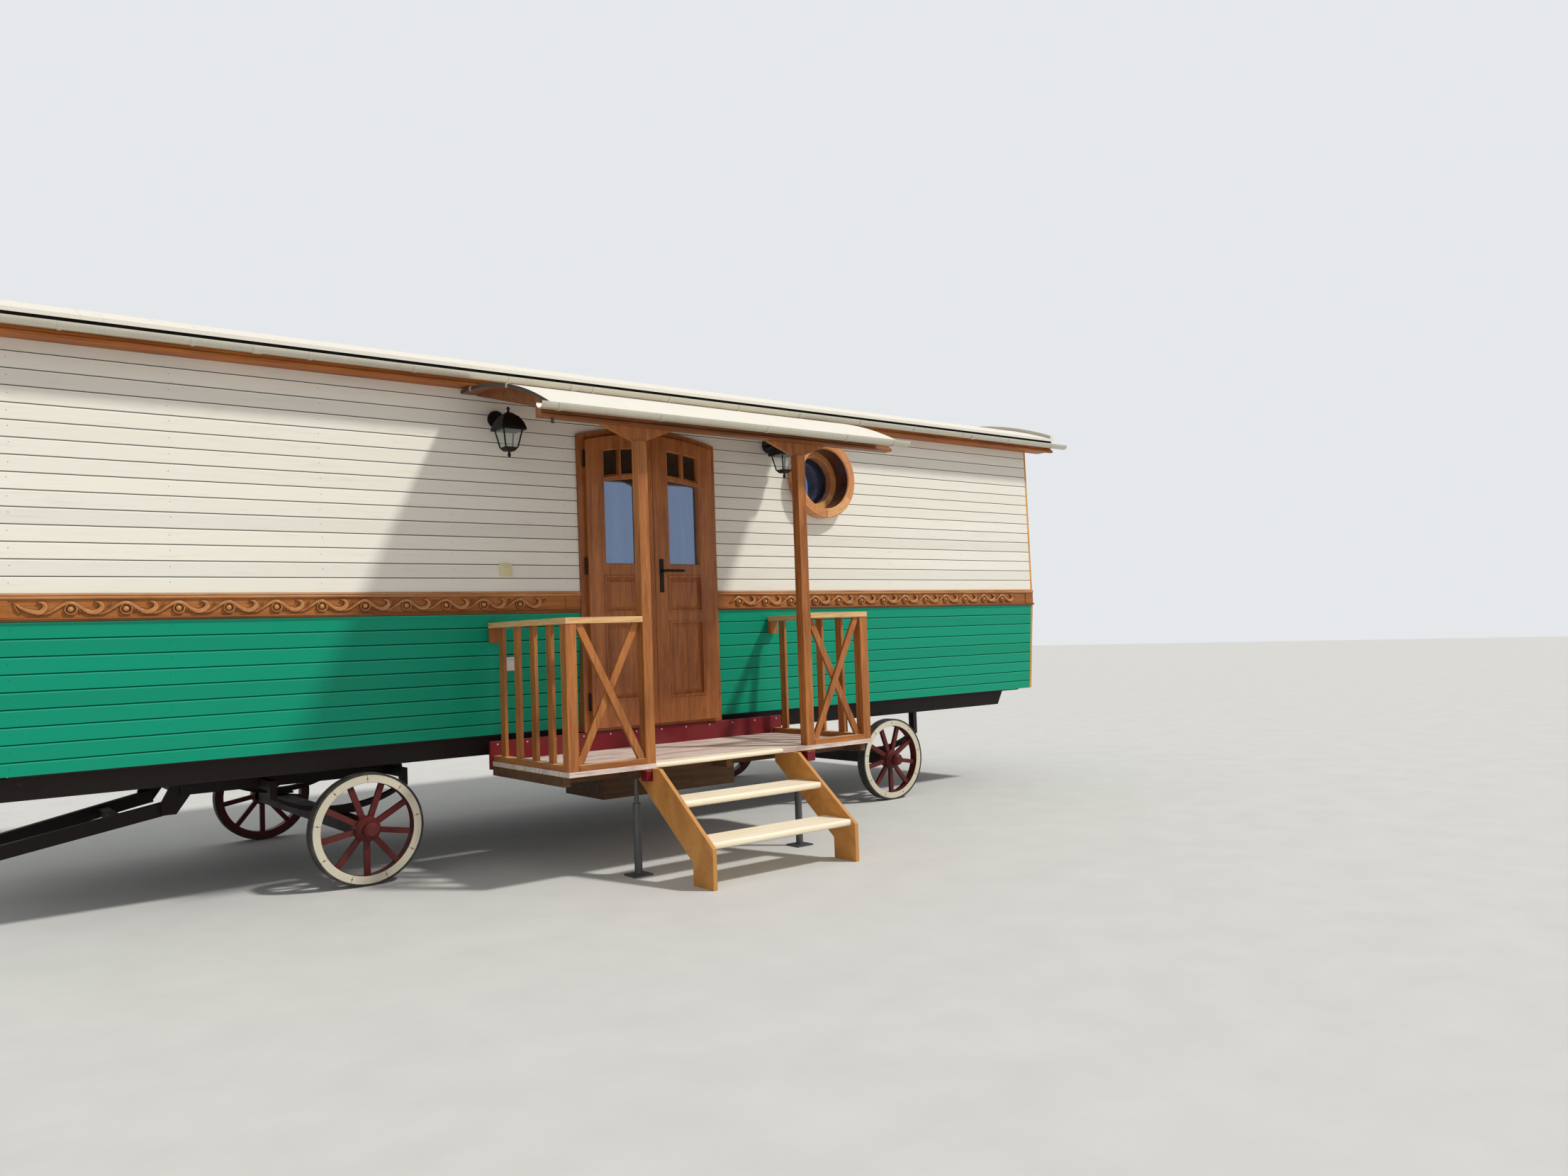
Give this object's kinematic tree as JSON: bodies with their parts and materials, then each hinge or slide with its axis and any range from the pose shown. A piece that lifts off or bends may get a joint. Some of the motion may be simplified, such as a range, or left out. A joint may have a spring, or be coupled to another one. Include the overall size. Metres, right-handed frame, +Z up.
{
  "type": "wooden living wagon caravan",
  "caption": "Long wooden living wagon with an arched roof, a carved band, double doors under a roofed porch with steps, spoked wheels and a turntable drawbar.",
  "frame": {"origin": "middle of the footprint, at ground level", "axes": "+X along the wagon towards its rear end, +Y from the porch side to the far side, +Z up"},
  "size_m": [10.0231, 4.374, 3.52],
  "materials": {
    "roof_sheet": "pale mineral-grained roofing sheet",
    "cream_boards": "cream satin paint on horizontal boards",
    "green_boards": "green satin paint on horizontal boards",
    "carved_wood": "carved and varnished",
    "stained_wood": "orange-brown stain and varnish",
    "eaves_wood": "varnished softwood",
    "honey_wood": "honey stain, satin",
    "weathered_wood": "weathered grey boards",
    "ply_wood": "golden sawn plywood",
    "cream_treads": "cream painted treads",
    "floor_wood": "sealed floor panel",
    "wall_lining": "pale painted lining",
    "maroon_boards": "maroon satin paint",
    "maroon_metal": "maroon satin paint",
    "wheel_paint": "maroon spokes and naves, off-white felloes",
    "tyre_rubber": "black rubber",
    "black_iron": "satin black",
    "clear_glass": "clear",
    "gutter_metal": "pale coated metal",
    "galvanised_steel": "dull zinc",
    "chassis_steel": "dark chassis paint",
    "locker_wood": "brown stained boards"
  },
  "bodies": {
    "body": {"canopy_frame": "eaves_wood", "canopy_gutter": "gutter_metal", "canopy_sheet": "roof_sheet", "chassis_beams": "chassis_steel", "corner_strips": "stained_wood", "cross_members": "chassis_steel", "deck_boards": "weathered_wood", "deck_frame": "honey_wood", "deck_props": "galvanised_steel", "door_frame": "stained_wood", "eaves_boards": "eaves_wood", "floor": "floor_wood", "frieze": "carved_wood", "front_railings": "honey_wood", "gutters": "gutter_metal", "lantern_glass": "clear_glass", "lanterns": "black_iron", "lower_cladding": "green_boards", "porthole_ring": "stained_wood", "post_feet": "maroon_metal", "posts": "honey_wood", "rear_axle": "chassis_steel", "rear_springs": "chassis_steel", "roof": "roof_sheet", "side_railings": "honey_wood", "skirt_board": "maroon_boards", "stringers": "ply_wood", "treads": "cream_treads", "turntable_upper_ring": "chassis_steel", "underfloor_locker": "locker_wood", "upper_cladding": "cream_boards", "wall_door_side": "wall_lining", "wall_far_side": "wall_lining", "wall_left_end": "wall_lining", "wall_right_end": "wall_lining", "window_frames": "stained_wood", "window_glass": "clear_glass"},
    "turntable": {"turntable_lower_ring": "chassis_steel", "steer_frame": "chassis_steel", "front_axle": "chassis_steel", "front_springs": "chassis_steel"},
    "drawbar": {"drawbar_arms": "chassis_steel", "drawbar_head": "chassis_steel"},
    "door_left": {"door_leaf_left": "stained_wood", "door_glass_left": "clear_glass", "door_fittings_left": "black_iron"},
    "door_right": {"door_leaf_right": "stained_wood", "door_glass_right": "clear_glass", "door_fittings_right": "black_iron"},
    "wheel_body_front_door_side": {"wheel_front_door_side": "wheel_paint", "tyre_front_door_side": "tyre_rubber"},
    "wheel_body_front_far_side": {"wheel_front_far_side": "wheel_paint", "tyre_front_far_side": "tyre_rubber"},
    "wheel_body_rear_door_side": {"wheel_rear_door_side": "wheel_paint", "tyre_rear_door_side": "tyre_rubber"},
    "wheel_body_rear_far_side": {"wheel_rear_far_side": "wheel_paint", "tyre_rear_far_side": "tyre_rubber"}
  },
  "joints": [
    {"name": "steer", "type": "hinge", "parent": "body", "child": "turntable", "pos_m": [-1.68043, 0.729, 0.669], "axis": [0, 0, 1], "range_deg": [-35, 35]},
    {"name": "drawbar_lift", "type": "hinge", "parent": "turntable", "child": "drawbar", "pos_m": [-2.61043, 0.729, 0.5], "axis": [0, 1, 0], "range_deg": [0, 18]},
    {"name": "door_left_swing", "type": "hinge", "parent": "body", "child": "door_left", "pos_m": [-0.17243, -0.548, 1.86], "axis": [0, 0, -1], "range_deg": [0, 135]},
    {"name": "door_right_swing", "type": "hinge", "parent": "body", "child": "door_right", "pos_m": [0.90557, -0.548, 1.86], "axis": [0, 0, 1], "range_deg": [0, 135]},
    {"name": "spin_front_door_side", "type": "hinge", "parent": "turntable", "child": "wheel_body_front_door_side", "pos_m": [-1.68043, -0.461, 0.34], "axis": [0, 1, 0], "continuous": true},
    {"name": "spin_front_far_side", "type": "hinge", "parent": "turntable", "child": "wheel_body_front_far_side", "pos_m": [-1.68043, 1.919, 0.34], "axis": [0, 1, 0], "continuous": true},
    {"name": "spin_rear_door_side", "type": "hinge", "parent": "body", "child": "wheel_body_rear_door_side", "pos_m": [2.73957, -0.461, 0.34], "axis": [0, 1, 0], "continuous": true},
    {"name": "spin_rear_far_side", "type": "hinge", "parent": "body", "child": "wheel_body_rear_far_side", "pos_m": [2.73957, 1.919, 0.34], "axis": [0, 1, 0], "continuous": true}
  ]
}
